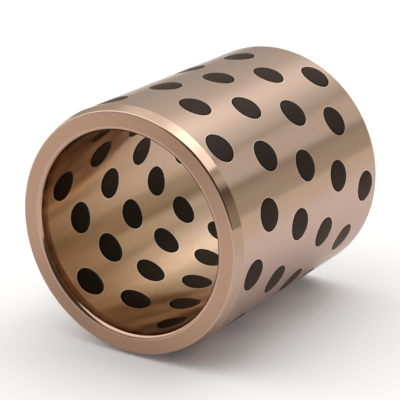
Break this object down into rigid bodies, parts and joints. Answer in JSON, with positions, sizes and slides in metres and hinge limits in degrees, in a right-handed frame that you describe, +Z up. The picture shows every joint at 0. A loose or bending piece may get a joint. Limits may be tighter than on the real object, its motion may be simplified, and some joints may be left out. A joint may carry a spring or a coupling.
{
  "type": "sleeve bushing",
  "caption": "Plain bronze sleeve bushing with flush graphite plugs through its wall, a lead-in taper at one end and a straight bore for a shaft.",
  "frame": {"origin": "middle of the bore, on its axis and half way along the sleeve", "axes": "+Y along the bore away from the lead-in end, which faces -Y; +Z up and +X right as seen from the lead-in end, with the sleeve lying on its side"},
  "size_m": [0.062, 0.07, 0.062],
  "materials": {
    "bronze": "fine turned, satin",
    "graphite": "matte, slightly burnished"
  },
  "bodies": {
    "root": {"sleeve": "bronze", "plug_ring1_hole1": "graphite", "plug_ring1_hole2": "graphite", "plug_ring1_hole3": "graphite", "plug_ring1_hole4": "graphite", "plug_ring1_hole5": "graphite", "plug_ring1_hole6": "graphite", "plug_ring2_hole1": "graphite", "plug_ring2_hole2": "graphite", "plug_ring2_hole3": "graphite", "plug_ring2_hole4": "graphite", "plug_ring2_hole5": "graphite", "plug_ring2_hole6": "graphite", "plug_ring3_hole1": "graphite", "plug_ring3_hole2": "graphite", "plug_ring3_hole3": "graphite", "plug_ring3_hole4": "graphite", "plug_ring3_hole5": "graphite", "plug_ring3_hole6": "graphite", "plug_ring4_hole1": "graphite", "plug_ring4_hole2": "graphite", "plug_ring4_hole3": "graphite", "plug_ring4_hole4": "graphite", "plug_ring4_hole5": "graphite", "plug_ring4_hole6": "graphite", "plug_ring5_hole1": "graphite", "plug_ring5_hole2": "graphite", "plug_ring5_hole3": "graphite", "plug_ring5_hole4": "graphite", "plug_ring5_hole5": "graphite", "plug_ring5_hole6": "graphite", "plug_ring6_hole1": "graphite", "plug_ring6_hole2": "graphite", "plug_ring6_hole3": "graphite", "plug_ring6_hole4": "graphite", "plug_ring6_hole5": "graphite", "plug_ring6_hole6": "graphite", "plug_ring7_hole1": "graphite", "plug_ring7_hole2": "graphite", "plug_ring7_hole3": "graphite", "plug_ring7_hole4": "graphite", "plug_ring7_hole5": "graphite", "plug_ring7_hole6": "graphite", "plug_ring8_hole1": "graphite", "plug_ring8_hole2": "graphite", "plug_ring8_hole3": "graphite", "plug_ring8_hole4": "graphite", "plug_ring8_hole5": "graphite", "plug_ring8_hole6": "graphite", "plug_ring9_hole1": "graphite", "plug_ring9_hole2": "graphite", "plug_ring9_hole3": "graphite", "plug_ring9_hole4": "graphite", "plug_ring9_hole5": "graphite", "plug_ring9_hole6": "graphite"}
  },
  "joints": []
}
